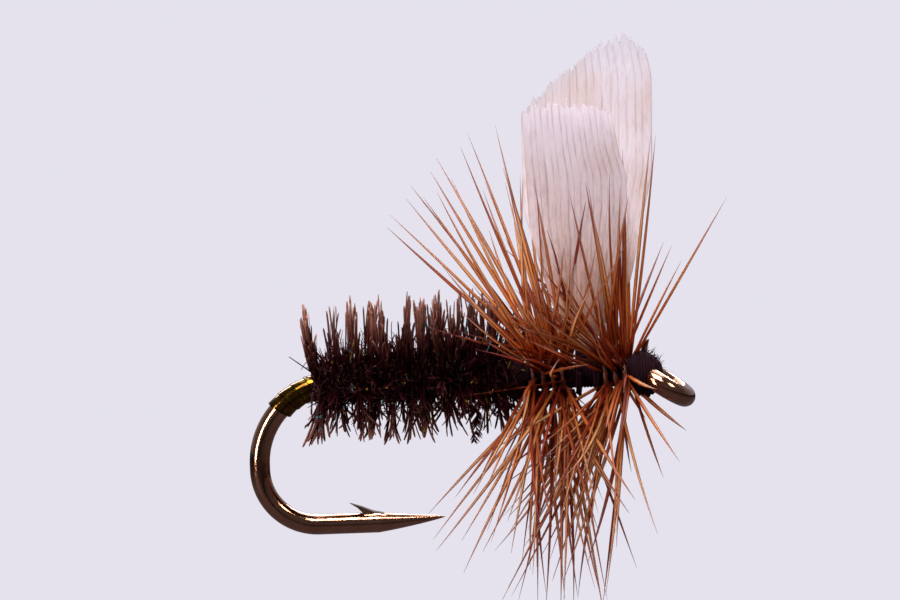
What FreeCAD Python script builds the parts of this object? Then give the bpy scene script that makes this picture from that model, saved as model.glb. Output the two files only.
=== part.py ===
"""A quill-wing dry fly tied on a down-eye hook.

Frame: millimetres. The origin is the centre of the hook's eye, +X runs along the shank towards the
eye, +Z is up (the side the wings stand on) and +Y is the fly's left. The shank's own axis lies
above the origin, because the eye is turned down.

Most pieces are wound round the shank. Those are drawn in shank coordinates, with the shank's axis on
the local X axis, and are lifted to the shank by their Placement.
"""

import FreeCAD, Part
import math
import os

import Sketcher

V = FreeCAD.Vector
X_DIR = V(1, 0, 0)
Y_DIR = V(0, 1, 0)
Z_DIR = V(0, 0, 1)

doc = FreeCAD.newDocument("DryFly")
sheet = doc.addObject("Spreadsheet::Sheet", "Dimensions")

# Driving dimensions: alias, value, meaning. Lengths in millimetres, angles in degrees.
# Places along the shank are negative, because the eye is at zero and the bend is behind it.
DIMENSIONS = [
    ("wire_dia", 0.56, "hook wire"),
    ("eye_radius", 0.62, "eye ring, centre of the wire"),
    ("eye_tilt", 33.0, "eye plane below the shank"),
    ("eye_bore_radius", 0.36, "short straight land inside the eye"),
    ("shank_height", 0.37, "shank's axis above the eye's centre"),
    ("neck", -0.46, "where the shank runs into the back of the eye"),
    ("bend_start", -9.07, "where the shank begins to bend"),
    ("bend_upper_radius", 2.2, "upper part of the bend"),
    ("bend_lower_radius", 1.58, "lower part of the bend"),
    ("bend_straight", 0.15, "straight between the two arcs"),
    ("spear_length", 1.55, "plain wire between the bend and the point"),
    ("point_length", 1.92, "tapered point"),
    ("point_flat", 0.012, "radius of the point's tip"),
    ("barb_length", 0.72, "barb, from its root to its tip along the spear"),
    ("barb_rise", 0.3, "barb tip above the wire's surface"),
    ("barb_width", 0.26, "barb across the wire"),
    ("thread_dia", 0.09, "tying thread"),
    ("thread_base_pitch", 0.3, "open spiral of the first thread layer"),
    ("tinsel_thickness", 0.045, "flat gold tinsel"),
    ("tinsel_from", 10.0, "start of the tag, degrees round the bend"),
    ("tinsel_to", 48.0, "end of the tag, degrees round the bend"),
    ("body_rear", -9.72, "rear end of the herl body"),
    ("body_length", 5.3, "herl body"),
    ("herl_lead", 0.48, "advance of the body for each turn"),
    ("herl_stem_dia", 0.14, "herl quill"),
    ("herl_flue_length", 1.35, "herl barbules, standing out from the quill"),
    ("herl_flue_thickness", 0.05, "herl barbules, across the fringe"),
    ("herl_end_length", 0.45, "trimmed herl ends in front of the body"),
    ("loose_tip_x", -5.36, "herl tip that hangs under the body"),
    ("loose_tip_length", 1.15, "herl tip that hangs under the body"),
    ("wing_root", -2.12, "wing roots along the shank"),
    ("wing_root_gap", 0.2, "between the two slips at the root"),
    ("wing_thickness", 0.07, "one quill slip"),
    ("wing_spread", 11.0, "each wing's lean away from upright"),
    ("wing_butt_dia", 0.1, "trimmed butt of a slip"),
    ("wing_butt_length", 0.34, "trimmed butt of a slip, along the shank"),
    ("post_radius", 0.32, "turns of thread round the standing wings"),
    ("hackle_stem_dia", 0.13, "hackle quill"),
    ("hackle_pitch", 0.27, "advance of the hackle for each turn"),
    ("rear_hackle_front", -2.62, "front end of the rear hackle"),
    ("rear_hackle_length", 1.1, "rear hackle along the shank"),
    ("front_hackle_front", -1.02, "front end of the front hackle"),
    ("front_hackle_length", 0.72, "front hackle along the shank"),
    ("barb_fibre_length", 5.7, "hackle barb"),
    ("barb_fibre_root", 0.055, "radius of a hackle barb at its root"),
    ("barb_fibre_tip", 0.012, "radius of a hackle barb at its tip"),
    ("head_rear", -0.98, "rear end of the thread head"),
    ("head_length", 0.66, "thread head"),
    ("head_radius", 0.57, "thread head at its thickest"),
    ("stub_dia", 0.12, "clipped hackle tip on the head"),
    ("stub_length", 0.33, "clipped hackle tip on the head"),
]
for row, (alias, value, meaning) in enumerate(DIMENSIONS, start=1):
    sheet.set(f"A{row}", alias)
    sheet.set(f"B{row}", str(value))
    sheet.setAlias(f"B{row}", alias)
    sheet.set(f"C{row}", meaning)
doc.recompute()


def size(alias):
    """The value of one driving dimension."""
    return float(sheet.get(alias))


WIRE_RADIUS = size("wire_dia") / 2
SHANK_HEIGHT = size("shank_height")
THREAD_LAYER = WIRE_RADIUS + size("thread_dia")

parts = []


def keep(item, label, placement=None):
    """Name a finished sub-part, place it and add it to the list that is written out."""
    item.Label = label
    if placement is not None:
        item.Placement = placement
    parts.append(item)
    return item


def on_shank(turned=0.0):
    """A Placement on the shank's axis, turned about it (degrees)."""
    return FreeCAD.Placement(V(0, 0, SHANK_HEIGHT), FreeCAD.Rotation(X_DIR, turned))


def new_body(name):
    return doc.addObject("PartDesign::Body", name)


def sketch_on(body, role, name):
    """A sketch attached to one of its own body's origin planes."""
    sketch = body.newObject("Sketcher::SketchObject", name)
    plane = [item for item in body.Origin.OriginFeatures if item.Role == role][0]
    sketch.AttachmentSupport = [(plane, "")]
    sketch.MapMode = "FlatFace"
    return sketch


def add_circle(sketch, centre, radius_expression):
    """A circle fixed at its centre, with its radius bound to the sheet."""
    edge = sketch.addGeometry(Part.Circle(V(centre[0], centre[1], 0), Z_DIR, 0.1), False)
    sketch.addConstraint(Sketcher.Constraint("DistanceX", -1, 1, edge, 3, centre[0]))
    sketch.addConstraint(Sketcher.Constraint("DistanceY", -1, 1, edge, 3, centre[1]))
    number = sketch.addConstraint(Sketcher.Constraint("Radius", edge, 0.1))
    sketch.setExpression(f"Constraints[{number}]", radius_expression)
    return edge


def add_outline(sketch, corners):
    """A closed outline of straight edges through the corners."""
    for here, there in zip(corners, corners[1:] + corners[:1]):
        sketch.addGeometry(Part.LineSegment(V(here[0], here[1], 0), V(there[0], there[1], 0)), False)


def add_rectangle(sketch, low, high):
    add_outline(sketch, [low, (high[0], low[1]), high, (low[0], high[1])])


# ---------------------------------------------------------------- hook


def hook_path(body):
    """The wire's centre line from the eye to the spear: line, two arcs with a short line between, line."""
    sketch = sketch_on(body, "XZ_Plane", "hook_path")
    top = SHANK_HEIGHT
    start = size("neck")
    bend = size("bend_start")
    upper = size("bend_upper_radius")
    lower = size("bend_lower_radius")
    straight = size("bend_straight")
    rear = bend - upper
    upper_end = top - upper
    lower_start = upper_end - straight
    bottom = lower_start - lower
    spear_start = rear + lower

    quarter = math.pi / 2
    shank = sketch.addGeometry(Part.LineSegment(V(start, top, 0), V(bend, top, 0)), False)
    upper_arc = sketch.addGeometry(
        Part.ArcOfCircle(Part.Circle(V(bend, upper_end, 0), Z_DIR, upper), quarter, 2 * quarter), False
    )
    middle = sketch.addGeometry(
        Part.LineSegment(V(rear, upper_end, 0), V(rear, lower_start, 0)), False
    )
    lower_arc = sketch.addGeometry(
        Part.ArcOfCircle(Part.Circle(V(spear_start, lower_start, 0), Z_DIR, lower), 2 * quarter, 3 * quarter),
        False,
    )
    spear = sketch.addGeometry(
        Part.LineSegment(V(spear_start, bottom, 0), V(spear_start + size("spear_length"), bottom, 0)), False
    )
    constrain = sketch.addConstraint
    constrain(Sketcher.Constraint("Tangent", shank, 2, upper_arc, 1))
    constrain(Sketcher.Constraint("Tangent", upper_arc, 2, middle, 1))
    constrain(Sketcher.Constraint("Tangent", middle, 2, lower_arc, 1))
    constrain(Sketcher.Constraint("Tangent", lower_arc, 2, spear, 1))
    constrain(Sketcher.Constraint("Horizontal", shank))
    constrain(Sketcher.Constraint("Vertical", middle))
    constrain(Sketcher.Constraint("Horizontal", spear))
    bound = [
        ("DistanceX", (-1, 1, shank, 1), start, "Dimensions.neck"),
        ("DistanceY", (-1, 1, shank, 1), top, "Dimensions.shank_height"),
        ("DistanceX", (-1, 1, shank, 2), bend, "Dimensions.bend_start"),
        ("Radius", (upper_arc,), upper, "Dimensions.bend_upper_radius"),
        ("Radius", (lower_arc,), lower, "Dimensions.bend_lower_radius"),
        ("Distance", (middle,), straight, "Dimensions.bend_straight"),
        ("Distance", (spear,), size("spear_length"), "Dimensions.spear_length"),
    ]
    for kind, where, value, expression in bound:
        number = constrain(Sketcher.Constraint(kind, *where, value))
        sketch.setExpression(f"Constraints[{number}]", expression)
    return sketch


def make_hook():
    """One bent wire: turned-down eye, shank, bend and spear, with a ground point and a cut barb."""
    body = new_body("hook")
    path = hook_path(body)

    profile = sketch_on(body, "YZ_Plane", "wire_section")
    profile.setExpression("AttachmentOffset.Base.z", "Dimensions.neck")
    add_circle(profile, (0.0, SHANK_HEIGHT), "Dimensions.wire_dia / 2")
    doc.recompute()
    wire = body.newObject("PartDesign::AdditivePipe", "wire")
    wire.Profile = profile
    wire.Spine = (path, [])
    doc.recompute()

    # The eye: the wire's section turned about an axis square to the eye's plane.
    tilt = math.radians(size("eye_tilt"))
    ring_section = sketch_on(body, "XZ_Plane", "eye_section")
    rear_point = (-size("eye_radius") * math.cos(tilt), size("eye_radius") * math.sin(tilt))
    add_circle(ring_section, rear_point, "Dimensions.wire_dia / 2")
    ring_section.addGeometry(
        Part.LineSegment(V(0, 0, 0), V(math.sin(tilt), math.cos(tilt), 0)), True
    )
    ring = body.newObject("PartDesign::Revolution", "eye")
    ring.Profile = ring_section
    ring.ReferenceAxis = (ring_section, ["Axis0"])
    ring.Angle = 360
    doc.recompute()

    # The eye is closed round a pin, which leaves a short straight land inside it.
    land = sketch_on(body, "XY_Plane", "eye_land")
    land.AttachmentOffset = FreeCAD.Placement(V(0, 0, 0), FreeCAD.Rotation(Y_DIR, size("eye_tilt")))
    add_circle(land, (0.0, 0.0), "Dimensions.eye_bore_radius")
    before = body.Shape.Volume
    bore = body.newObject("PartDesign::Pocket", "eye_bore")
    bore.Profile = land
    bore.Midplane = True
    bore.setExpression("Length", "Dimensions.wire_dia * 2")
    doc.recompute()
    assert bore.Shape.Volume < before, "the eye's bore cuts nothing"

    # The point: a cone that carries on from the spear.
    spear_z = SHANK_HEIGHT - size("bend_upper_radius") - size("bend_straight") - size("bend_lower_radius")
    taper_x = size("bend_start") - size("bend_upper_radius") + size("bend_lower_radius")
    taper_x += size("spear_length")
    tip_x = taper_x + size("point_length")
    cone = sketch_on(body, "XZ_Plane", "point_section")
    add_outline(
        cone,
        [
            (taper_x, spear_z),
            (tip_x, spear_z),
            (tip_x, spear_z + size("point_flat")),
            (taper_x, spear_z + WIRE_RADIUS),
        ],
    )
    cone.addGeometry(Part.LineSegment(V(taper_x, spear_z, 0), V(tip_x, spear_z, 0)), True)
    point = body.newObject("PartDesign::Revolution", "point")
    point.Profile = cone
    point.ReferenceAxis = (cone, ["Axis0"])
    point.Angle = 360
    doc.recompute()

    # The barb: a sliver raised from the top of the spear, pointing back towards the bend.
    barb = sketch_on(body, "XZ_Plane", "barb_section")
    surface = spear_z + WIRE_RADIUS
    barb_tip = (taper_x - size("barb_length"), surface + size("barb_rise"))
    rooted = surface - WIRE_RADIUS / 2
    add_outline(
        barb,
        [barb_tip, (taper_x - size("barb_length") / 2, rooted), (taper_x + size("barb_length") / 8, rooted)],
    )
    sliver = body.newObject("PartDesign::Pad", "barb")
    sliver.Profile = barb
    sliver.Midplane = True
    sliver.setExpression("Length", "Dimensions.barb_width")
    doc.recompute()
    return keep(body, "hook")


# ---------------------------------------------------------------- things wound on the shank


def wound(label, front, length, pitch, coil_radius, draw_section, turned=0.0):
    """A helix about the shank: draw_section draws the profile at the front end, at the coil's radius."""
    body = new_body(label)
    section = sketch_on(body, "XZ_Plane", f"{label}_section")
    draw_section(section, front, coil_radius)
    doc.recompute()
    coil = body.newObject("PartDesign::AdditiveHelix", f"{label}_coil")
    coil.Profile = section
    coil.ReferenceAxis = (section, ["H_Axis"])
    coil.Mode = "pitch-height-angle"
    coil.Angle = 0
    coil.Reversed = True
    for name, value in (("Pitch", pitch), ("Height", length)):
        if isinstance(value, str):
            coil.setExpression(name, value)
        else:
            setattr(coil, name, value)
    doc.recompute()
    return keep(body, label, on_shank(turned))


def round_section(radius_expression):
    """A drawing function for a round strand."""

    def draw(section, front, coil_radius):
        add_circle(section, (front, coil_radius), radius_expression)

    return draw


def thread_wraps(label, front, length, coil_radius, pitch="Dimensions.thread_dia * 1.02"):
    """Tying thread laid side by side round the shank."""
    return wound(label, front, length, pitch, coil_radius, round_section("Dimensions.thread_dia / 2"))


def make_thread_base():
    """The first layer of thread, an open spiral from behind the head back to the bend."""
    front = -size("eye_radius")
    return wound(
        "thread_base",
        front,
        -size("bend_start") + front,
        "Dimensions.thread_base_pitch",
        WIRE_RADIUS + size("thread_dia") / 2,
        round_section("Dimensions.thread_dia / 2"),
    )


def make_tinsel_tag():
    """Flat tinsel in three wraps round the start of the bend, each wrap's edge standing on the last."""
    wraps = 3
    start = size("tinsel_from")
    step = (size("tinsel_to") - start) / wraps
    centre = V(size("bend_start"), 0, SHANK_HEIGHT - size("bend_upper_radius"))
    shells = []
    for number in range(wraps):
        outer = doc.addObject("Part::Torus", f"tinsel_outer_{number}")
        inner = doc.addObject("Part::Torus", f"tinsel_inner_{number}")
        lift = 1 + (wraps - number) / wraps
        for ring, layers in ((outer, lift), (inner, 0)):
            ring.setExpression("Radius1", "Dimensions.bend_upper_radius")
            ring.setExpression("Radius2", f"Dimensions.wire_dia / 2 + Dimensions.tinsel_thickness * {layers}")
            ring.Angle3 = step
            # The ring's own axis lies across the fly; its sweep starts at the top of the bend.
            turn = FreeCAD.Rotation(Y_DIR, -(start + step * number) - 90)
            lay = FreeCAD.Rotation(X_DIR, 90)
            ring.Placement = FreeCAD.Placement(centre, turn.multiply(lay))
        shell = doc.addObject("Part::Cut", f"tinsel_wrap_{number}")
        shell.Base = outer
        shell.Tool = inner
        shells.append(shell)
    doc.recompute()
    tag = doc.addObject("Part::Compound", "tinsel_tag")
    tag.Links = shells
    return keep(tag, "tinsel_tag")


def make_herl():
    """Three peacock herls wound side by side: a round quill each, with a fringe standing out from it."""
    strands = 3
    quill_radius = THREAD_LAYER + size("herl_stem_dia") / 2
    fringe_low = THREAD_LAYER + size("herl_stem_dia")
    fringe_high = fringe_low + size("herl_flue_length")
    front = size("body_rear") + size("body_length")
    half_fringe = size("herl_flue_thickness") / 2

    def fringe_section(section, at, unused_radius):
        add_rectangle(section, (at - half_fringe, fringe_low), (at + half_fringe, fringe_high))

    for number in range(strands):
        turned = number * 360 / strands
        wound(
            f"herl_quill_{number + 1}",
            front,
            "Dimensions.body_length",
            "Dimensions.herl_lead",
            quill_radius,
            round_section("Dimensions.herl_stem_dia / 2"),
            turned,
        )
        wound(
            f"herl_fringe_{number + 1}",
            front,
            "Dimensions.body_length",
            "Dimensions.herl_lead",
            quill_radius,
            fringe_section,
            turned,
        )


def strand(name, start, end, radius_start, radius_end):
    """A straight tapered strand between two points, as a Part::Cone."""
    cone = doc.addObject("Part::Cone", name)
    along = end.sub(start)
    cone.Radius1 = radius_start
    cone.Radius2 = radius_end
    cone.Height = along.Length
    cone.Placement = FreeCAD.Placement(start, FreeCAD.Rotation(Z_DIR, along))
    return cone


def bundle(label, strands):
    """Several strands kept as one node of separate solids."""
    group = doc.addObject("Part::Compound", label)
    group.Links = strands
    return keep(group, label)


def round_shank(x, radius, degrees):
    """A point at a distance from the shank's axis, at an angle from the top of the fly."""
    angle = math.radians(degrees)
    return V(x, -radius * math.sin(angle), SHANK_HEIGHT + radius * math.cos(angle))


def make_herl_ends():
    """The herls' trimmed front ends, lying along the shank in front of the body, and their thread."""
    start = size("body_rear") + size("body_length") + size("thread_dia")
    long = size("herl_end_length")
    radius = THREAD_LAYER + size("herl_stem_dia") / 2
    ends = []
    for number, degrees in enumerate((-22, 0, 22)):
        ends.append(
            strand(
                f"herl_end_{number + 1}",
                round_shank(start, radius, degrees),
                round_shank(start + long, radius, degrees),
                size("herl_stem_dia") / 2,
                size("herl_stem_dia") / 3,
            )
        )
    bundle("herl_trimmed_ends", ends)
    over_ends = THREAD_LAYER + size("herl_stem_dia") + size("thread_dia") / 2
    turns = 3
    front = start + long - size("thread_dia")
    thread_wraps("herl_tie_off_thread", front, turns * size("thread_dia"), over_ends)


def make_herl_tip():
    """A loose herl tip that hangs under the body: a fine quill with a flat leaf-shaped fringe."""
    drop = THREAD_LAYER + size("herl_stem_dia") + size("thread_dia")
    long = size("loose_tip_length")
    x = size("loose_tip_x")
    top = round_shank(x, drop, 180)
    end = round_shank(x, drop + long, 180)
    quill = strand("herl_loose_quill", top, end, size("herl_stem_dia") / 3, size("herl_stem_dia") / 8)
    leaf = new_body("herl_loose_leaf")
    outline = sketch_on(leaf, "XZ_Plane", "leaf_outline")
    corners = [(x, end.z), (x - long / 4, end.z + long / 4), (x - long / 6, top.z - long / 6), (x, top.z)]
    corners += [(x + long / 6, top.z - long / 6), (x + long / 4, end.z + long / 4)]
    add_outline(outline, corners)
    plate = leaf.newObject("PartDesign::Pad", "leaf")
    plate.Profile = outline
    plate.Midplane = True
    plate.setExpression("Length", "Dimensions.herl_flue_thickness")
    doc.recompute()
    whole = doc.addObject("Part::Fuse", "herl_loose_tip")
    whole.Base = quill
    whole.Tool = leaf
    keep(whole, "herl_loose_tip")


# ---------------------------------------------------------------- wings


def make_wing(label, side, corners):
    """One quill slip, as a thin plate with the slip's outline, leaning out to its own side."""
    body = new_body(label)
    outline = sketch_on(body, "XZ_Plane", f"{label}_outline")
    add_outline(outline, corners)
    plate = body.newObject("PartDesign::Pad", f"{label}_slip")
    plate.Profile = outline
    plate.Midplane = True
    plate.setExpression("Length", "Dimensions.wing_thickness")
    doc.recompute()
    root = V(size("wing_root"), side * size("wing_root_gap") / 2, SHANK_HEIGHT + THREAD_LAYER)
    lean = FreeCAD.Rotation(X_DIR, -side * size("wing_spread"))
    return keep(body, label, FreeCAD.Placement(root, lean))


def make_wings():
    """The pair of slips. Each outline runs from the bound root up the rear edge and down the front."""
    root = [(-0.14, 0), (-0.16, 0.42)]
    right = root + [(-0.9, 1.7), (-1.4, 4.2), (-1.5, 6.8), (-0.6, 6.95), (0.55, 6.9), (1.05, 5.9)]
    right += [(1.2, 4.5), (0.75, 2.4), (0.16, 0.42), (0.14, 0)]
    left = root + [(-1.05, 1.9), (-1.65, 4.2), (-1.62, 6.9), (-0.5, 8.0), (0.5, 8.7), (1.6, 8.95)]
    left += [(1.9, 7.8), (1.85, 5.2), (1.2, 2.2), (0.16, 0.42), (0.14, 0)]
    make_wing("wing_right", -1, right)
    make_wing("wing_left", 1, left)


def make_wing_butts():
    """The slips' trimmed butts, bound along the top of the shank behind the wings."""
    radius = THREAD_LAYER + size("wing_butt_dia") / 2
    front = size("wing_root") - 0.16
    butts = []
    for number, degrees in enumerate((-20, 20)):
        butts.append(
            strand(
                f"wing_butt_{number + 1}",
                round_shank(front, radius, degrees),
                round_shank(front - size("wing_butt_length"), radius, degrees),
                size("wing_butt_dia") / 2,
                size("wing_butt_dia") / 3,
            )
        )
    bundle("wing_butts", butts)


def make_wing_thread():
    """Thread at the wing roots: bands behind and in front, and turns round the standing wings."""
    half_thread = size("thread_dia") / 2
    over_butts = THREAD_LAYER + size("wing_butt_dia") + half_thread
    thread_wraps("wing_rear_thread", size("wing_root") - 0.24, size("thread_dia"), over_butts)
    on_base = THREAD_LAYER + half_thread
    thread_wraps("wing_front_thread", size("wing_root") + 0.25, size("thread_dia"), on_base)
    turns = []
    for number in range(3):
        ring = doc.addObject("Part::Torus", f"wing_post_turn_{number + 1}")
        ring.setExpression("Radius1", "Dimensions.post_radius")
        ring.setExpression("Radius2", "Dimensions.thread_dia / 2")
        height = SHANK_HEIGHT + THREAD_LAYER + size("thread_dia") * (1.5 + number)
        ring.Placement = FreeCAD.Placement(V(size("wing_root"), 0, height), FreeCAD.Rotation())
        turns.append(ring)
    bundle("wing_post_thread", turns)


# ---------------------------------------------------------------- hackle


def fan_of_barbs(label, front, length, count, lean_rear, lean_front, reach):
    """Hackle barbs as straight tapered strands, spread evenly round the shank and along the hackle.

    lean_rear and lean_front are the barbs' angles from square to the shank at the two ends of the
    hackle, positive towards the eye. reach scales the barb length.
    """
    golden = (math.sqrt(5) - 1) / 2
    root_radius = THREAD_LAYER + size("hackle_stem_dia")
    barbs = []
    for number in range(count):
        share = (number + 0.5) / count
        x = front - length * (1 - share)
        around = 2 * math.pi * (((number + 1) * golden) % 1)
        scatter = 2 * ((number * golden * golden) % 1) - 1
        lean = math.radians(lean_rear + (lean_front - lean_rear) * share + 9 * scatter)
        outward = V(0, math.sin(around), math.cos(around))
        direction = outward * math.cos(lean) + X_DIR * math.sin(lean)
        root = V(x, 0, SHANK_HEIGHT) + outward * root_radius
        long = size("barb_fibre_length") * reach * (1 - 0.1 * abs(scatter))
        barbs.append(
            Part.makeCone(size("barb_fibre_root"), size("barb_fibre_tip"), long, root, direction)
        )
    fan = doc.addObject("Part::Feature", label)
    fan.Shape = Part.makeCompound(barbs)
    return keep(fan, label)


def make_hackles():
    """Two stiff feathers wound edge on, one behind the wings and one in front."""
    stem_radius = THREAD_LAYER + size("hackle_stem_dia") / 2
    for place, count, lean_rear, lean_front, reach in (
        ("rear", 64, -40, -2, 1.0),
        ("front", 48, -8, 17, 1.02),
    ):
        front = size(f"{place}_hackle_front")
        length = size(f"{place}_hackle_length")
        wound(
            f"{place}_hackle_stem",
            front,
            f"Dimensions.{place}_hackle_length",
            "Dimensions.hackle_pitch",
            stem_radius,
            round_section("Dimensions.hackle_stem_dia / 2"),
        )
        fan_of_barbs(f"{place}_hackle_barbs", front, length, count, lean_rear, lean_front, reach)


def make_hackle_ends():
    """The feathers' trimmed butts under the shank, and a tip clipped off at the top of the head."""
    radius = THREAD_LAYER + size("hackle_stem_dia") / 2
    front = size("rear_hackle_front") - size("rear_hackle_length") - size("hackle_stem_dia")
    butts = []
    for number, degrees in enumerate((160, 200)):
        butts.append(
            strand(
                f"hackle_butt_{number + 1}",
                round_shank(front - size("herl_end_length"), radius, degrees),
                round_shank(front, radius, degrees),
                size("hackle_stem_dia") / 2,
                size("hackle_stem_dia") / 2,
            )
        )
    bundle("hackle_butts", butts)
    middle = size("head_rear") + size("head_length") / 2
    foot = round_shank(middle, size("head_radius") + size("stub_dia") / 4, 0)
    leaning = V(0.45, -0.1, 1).normalize() * size("stub_length")
    stub = strand("clipped_tip", foot, foot + leaning, size("stub_dia") / 2, size("stub_dia") / 3)
    keep(stub, "hackle_tip_stub")


# ---------------------------------------------------------------- head


def make_head():
    """The thread head: a barrel of packed wraps that closes over the back of the eye."""
    body = new_body("head_barrel")
    rear = size("head_rear")
    long = size("head_length")
    front = rear + long
    bore = THREAD_LAYER
    full = size("head_radius")
    section = sketch_on(body, "XZ_Plane", "head_section")
    corners = [
        (rear, bore),
        (front, bore),
        (front - long / 5, full),
        (rear + long / 3, full),
        (rear, (bore + full) / 2),
    ]
    add_outline(section, corners)
    barrel = body.newObject("PartDesign::Revolution", "packed_wraps")
    barrel.Profile = section
    barrel.ReferenceAxis = (section, ["H_Axis"])
    barrel.Angle = 360
    body.Placement = on_shank()
    eye = doc.addObject("Part::Torus", "eye_in_head")
    eye.setExpression("Radius1", "Dimensions.eye_radius")
    eye.setExpression("Radius2", "Dimensions.wire_dia / 2")
    eye.Placement = FreeCAD.Placement(V(0, 0, 0), FreeCAD.Rotation(Y_DIR, size("eye_tilt")))
    head = doc.addObject("Part::Cut", "thread_head")
    head.Base = body
    head.Tool = eye
    doc.recompute()
    assert head.Shape.Volume < body.Shape.Volume, "the head isn't cut by the eye"
    keep(head, "thread_head")
    turns = 3
    thread_wraps("whip_finish", front - long / 4, size("thread_dia") * turns, full + size("thread_dia") / 2)


def check_and_write():
    """Stop on any failed object or bad shape, then write each sub-part to its own STEP file."""
    doc.recompute()
    for item in doc.Objects:
        if "Invalid" in item.State or "Error" in item.State:
            raise SystemExit(f"{item.Name} failed: {item.State}")
    os.makedirs("parts", exist_ok=True)
    for item in parts:
        shape = item.Shape
        if shape.isNull() or not shape.isValid() or not shape.Solids:
            raise SystemExit(f"{item.Label} has no valid solid")
        shape.exportStep(f"parts/{item.Label}.step")
        print(f"{item.Label}: {len(shape.Solids)} solids, {shape.Volume:.4f} mm3")


make_hook()
make_thread_base()
make_tinsel_tag()
make_herl()
make_herl_ends()
make_herl_tip()
make_wings()
make_wing_butts()
make_wing_thread()
make_hackles()
make_hackle_ends()
make_head()
check_and_write()
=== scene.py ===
import math

import bmesh
import bpy
import numpy as np
from mathutils import Matrix, Vector


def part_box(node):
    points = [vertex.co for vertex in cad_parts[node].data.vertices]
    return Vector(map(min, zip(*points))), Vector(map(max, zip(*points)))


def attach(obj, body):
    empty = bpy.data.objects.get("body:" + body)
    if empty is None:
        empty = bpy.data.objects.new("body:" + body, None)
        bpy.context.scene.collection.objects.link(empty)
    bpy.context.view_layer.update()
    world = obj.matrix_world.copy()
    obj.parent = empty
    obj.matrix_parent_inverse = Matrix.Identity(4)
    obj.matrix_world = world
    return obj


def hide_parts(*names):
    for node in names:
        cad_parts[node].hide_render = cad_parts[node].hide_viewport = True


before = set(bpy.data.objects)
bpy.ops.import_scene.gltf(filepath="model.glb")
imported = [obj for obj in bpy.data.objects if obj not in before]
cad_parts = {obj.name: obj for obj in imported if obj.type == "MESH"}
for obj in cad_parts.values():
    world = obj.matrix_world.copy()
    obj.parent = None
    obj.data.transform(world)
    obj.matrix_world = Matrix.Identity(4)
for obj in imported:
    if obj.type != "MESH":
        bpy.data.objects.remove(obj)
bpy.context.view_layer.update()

# Every length below is in millimetres. Meshes are scaled to metres as they are made.
MM = 0.001
FULL_TURN = 2 * math.pi
random = np.random.default_rng(1906)


def box_mm(node):
    """The low and high corners of a node's box, in millimetres."""
    low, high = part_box(node)
    return np.array(low) / MM, np.array(high) / MM


# ---------------------------------------------------------------- places, from the frame

base_low, base_high = box_mm("thread_base")
hook_low, hook_high = box_mm("hook")
SHANK_Z = (base_low[2] + base_high[2]) / 2
THREAD = 0.09
BASE_RADIUS = (base_high[2] - base_low[2]) / 2
WIRE = BASE_RADIUS - THREAD

BODY_REAR, BODY_FRONT = [box_mm("herl_fringe_1")[side][0] for side in (0, 1)]
HERL_LEAD = 0.48
QUILL_RADIUS = 0.07
FLUE_ROOT = BASE_RADIUS + QUILL_RADIUS
FLUE_REAR = BODY_REAR + 0.1
FLUE_TURNS = (BODY_FRONT - FLUE_REAR) / HERL_LEAD
TUFTS_PER_TURN = 17

HACKLE_STEM = 0.065
HACKLES = {}
for place in ("rear", "front"):
    low, high = box_mm(f"{place}_hackle_stem")
    HACKLES[place] = (low[0] + HACKLE_STEM, high[0] - HACKLE_STEM)

post_low, post_high = box_mm("wing_post_thread")
WING_ROOT = np.array([(post_low[0] + post_high[0]) / 2, 0.0, SHANK_Z + BASE_RADIUS])
WING_LEAN = math.radians(11)

head_low, head_high = box_mm("thread_head")
HEAD_REAR = head_low[0]
HEAD_LENGTH = 0.86
EYE_RADIUS = 0.62
EYE_TILT = math.radians(33)


def around_shank(x, radius, turn):
    """Points at a radius from the shank's axis. turn is 0 at the top and grows towards -Y."""
    x, radius, turn = np.broadcast_arrays(x, radius, turn)
    return np.stack([x, -radius * np.sin(turn), SHANK_Z + radius * np.cos(turn)], axis=-1)


def in_hook_plane(x, z):
    """Points in the upright plane that the hook is bent in."""
    x, z = np.broadcast_arrays(x, z)
    return np.stack([x, np.zeros(len(x)), z], axis=1)


def outward_from_shank(turn):
    """Directions square to the shank, one for each turn."""
    return around_shank(0 * turn, 1.0, turn) - np.array([0, 0, SHANK_Z])


# ---------------------------------------------------------------- mesh building


def unit(vectors):
    """The same directions with length 1."""
    return vectors / np.maximum(np.linalg.norm(vectors, axis=-1, keepdims=True), 1e-12)


def link_object(name, data):
    """A new object in the scene."""
    made = bpy.data.objects.new(name, data)
    bpy.context.scene.collection.objects.link(made)
    return made


def make_object(name, points, quads, caps, layers):
    """A mesh object from points in millimetres, quads, many-sided caps and per-point values."""
    mesh = bpy.data.meshes.new(name)
    points = points.reshape(-1, 3) * MM
    mesh.vertices.add(len(points))
    mesh.vertices.foreach_set("co", points.astype(np.float32).ravel())
    corners = np.concatenate([quads.ravel(), caps.ravel()])
    totals = np.concatenate([np.full(len(quads), 4), np.full(len(caps), caps.shape[1])])
    mesh.loops.add(len(corners))
    mesh.loops.foreach_set("vertex_index", corners.astype(np.int32))
    mesh.polygons.add(len(totals))
    starts = np.concatenate([[0], np.cumsum(totals)[:-1]])
    mesh.polygons.foreach_set("loop_start", starts.astype(np.int32))
    mesh.update(calc_edges=True)
    mesh.validate()
    mesh.polygons.foreach_set("use_smooth", np.ones(len(mesh.polygons), bool))
    for layer, values in layers.items():
        attribute = mesh.attributes.new(layer, "FLOAT", "POINT")
        attribute.data.foreach_set("value", values.astype(np.float32).ravel())
    return link_object(name, mesh)


def tube_quads(index):
    """Faces between neighbouring rings of point numbers, closed round each ring."""
    after = np.roll(index, -1, axis=-1)
    corners = [index[..., :-1, :], after[..., :-1, :], after[..., 1:, :], index[..., 1:, :]]
    return np.stack(corners, axis=-1).reshape(-1, 4)


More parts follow.
